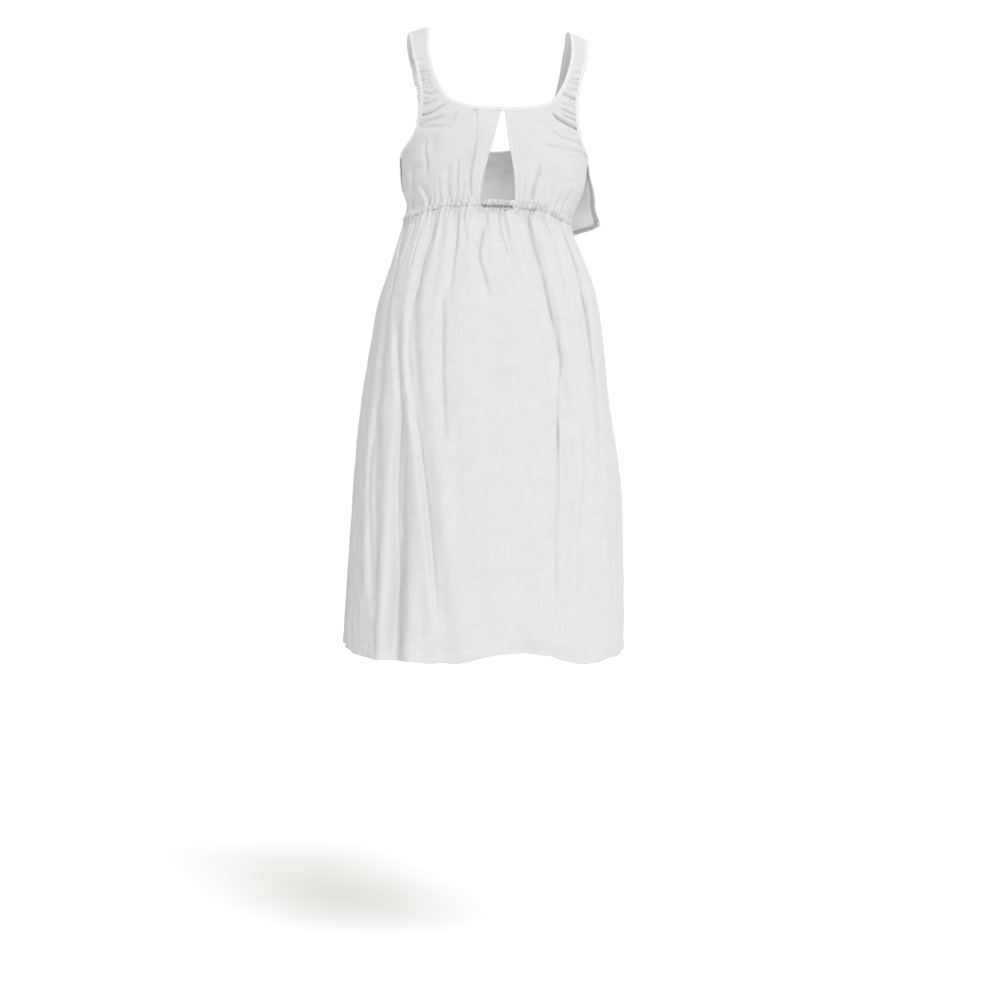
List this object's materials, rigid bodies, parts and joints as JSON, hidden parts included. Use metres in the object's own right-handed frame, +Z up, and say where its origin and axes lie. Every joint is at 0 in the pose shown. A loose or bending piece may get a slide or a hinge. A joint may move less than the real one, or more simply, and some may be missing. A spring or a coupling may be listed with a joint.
{
  "type": "sleeveless linen dress",
  "caption": "Sleeveless knee-length dress in pale linen, worn form: bound neckline, open back keyhole, gathered armholes, elastic waist, gathered skirt, loose front layer.",
  "frame": {"origin": "midway between the two strap tops, level with them, where the dress is held on the shoulders", "axes": "+Z up towards the shoulders, +Y out of the garment's back (the side with the keyhole), -Y out of its front, +X towards the garment's left side"},
  "size_m": [0.4189, 0.2956, 0.9379],
  "materials": {
    "linen": "matt plain weave",
    "binding": "matt plain weave, folded and topstitched",
    "casing": "matt plain weave, gathered over elastic"
  },
  "bodies": {
    "root": {"bodice_back_left": "linen", "bodice_back_right": "linen", "bodice_front": "linen", "front_layer": "linen", "neck_binding": "binding", "armhole_binding_left": "binding", "armhole_binding_right": "binding", "waist_casing": "casing", "skirt_back": "linen", "skirt_front": "linen"}
  },
  "joints": []
}
